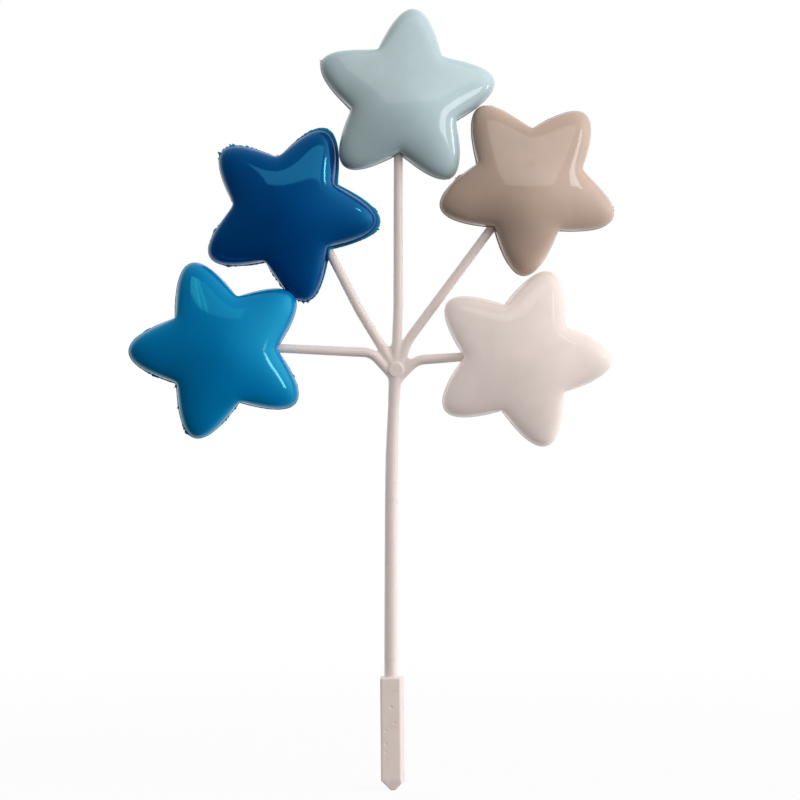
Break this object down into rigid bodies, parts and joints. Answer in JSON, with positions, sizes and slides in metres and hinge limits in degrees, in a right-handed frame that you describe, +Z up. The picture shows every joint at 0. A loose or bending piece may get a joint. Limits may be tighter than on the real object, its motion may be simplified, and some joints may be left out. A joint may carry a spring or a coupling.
{
  "type": "cake topper",
  "caption": "Cake topper: hollow puffed stars in blues, grey brown and white, each of two glossy shells, on one branching plastic stick with a flat pointed spike.",
  "frame": {"origin": "middle of the spike's shoulder, level with the surface of the cake", "axes": "+Z up along the stem, +X to the right as seen from the front, +Y to the back; the stars face -Y"},
  "size_m": [0.1086, 0.0191, 0.1755],
  "materials": {
    "stick_plastic": "moulded, satin to glossy, off-white",
    "sky_plastic": "moulded, high gloss, pale grey blue",
    "navy_plastic": "moulded, high gloss, dark blue",
    "aqua_plastic": "moulded, high gloss, bright blue",
    "taupe_plastic": "moulded, high gloss, grey brown",
    "white_plastic": "moulded, high gloss, white"
  },
  "bodies": {
    "root": {"branch_frame": "stick_plastic", "sky_star_front": "sky_plastic", "sky_star_back": "sky_plastic", "navy_star_front": "navy_plastic", "navy_star_back": "navy_plastic", "aqua_star_front": "aqua_plastic", "aqua_star_back": "aqua_plastic", "taupe_star_front": "taupe_plastic", "taupe_star_back": "taupe_plastic", "white_star_front": "white_plastic", "white_star_back": "white_plastic"}
  },
  "joints": []
}
